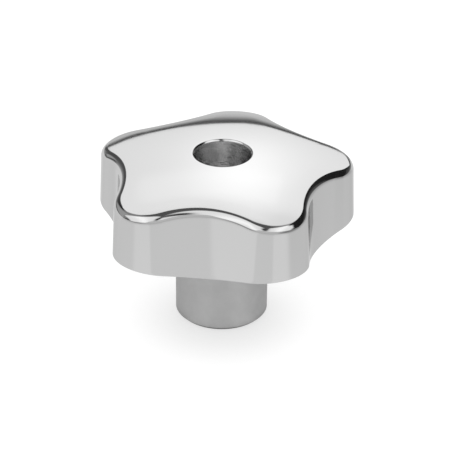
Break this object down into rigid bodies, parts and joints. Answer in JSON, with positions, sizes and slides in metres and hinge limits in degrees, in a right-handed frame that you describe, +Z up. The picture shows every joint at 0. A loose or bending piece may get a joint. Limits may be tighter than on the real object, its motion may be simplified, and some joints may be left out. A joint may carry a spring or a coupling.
{
  "type": "star knob",
  "caption": "Polished stainless star knob: a domed grip head with rounded lobes and finger recesses, on a matte cylindrical hub with a plain through bore.",
  "frame": {"origin": "where the bore's axis meets the hub's seating face", "axes": "+Z up along the bore from the seating face to the domed top, +Y towards one lobe"},
  "size_m": [0.0482, 0.0467, 0.0332],
  "materials": {
    "stainless_casting": "head polished bright with a mirror-like rim, hub turned and left matte"
  },
  "bodies": {
    "root": {"star_knob": "stainless_casting"}
  },
  "joints": []
}
